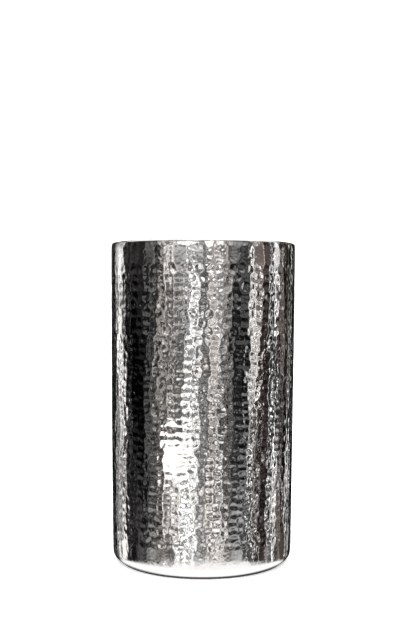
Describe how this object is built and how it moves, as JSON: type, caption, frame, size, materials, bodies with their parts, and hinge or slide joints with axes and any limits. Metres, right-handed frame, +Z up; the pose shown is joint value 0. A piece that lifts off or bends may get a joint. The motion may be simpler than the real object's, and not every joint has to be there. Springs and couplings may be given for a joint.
{
  "type": "champagne bucket",
  "caption": "Tall double-walled champagne bucket with a hammered, slightly tapered outer wall, a smooth liner, a polished rim ring and a non-slip foot ring.",
  "frame": {"origin": "on the table surface, at the centre of the foot ring's underside", "axes": "+Z up along the bucket's own axis; X and Y lie in the table plane, and -Y is the side the reference view faces"},
  "size_m": [0.12, 0.12, 0.206],
  "materials": {
    "polished_steel": "polished",
    "satin_steel": "satin",
    "dark_rubber": "matte",
    "grey_foam": "matte"
  },
  "bodies": {
    "root": {"outer_wall": "polished_steel", "rim_ring": "polished_steel", "inner_liner": "satin_steel", "base_disc": "satin_steel", "foot_ring": "dark_rubber", "vent_plug": "dark_rubber", "support_pad": "grey_foam"}
  },
  "joints": []
}
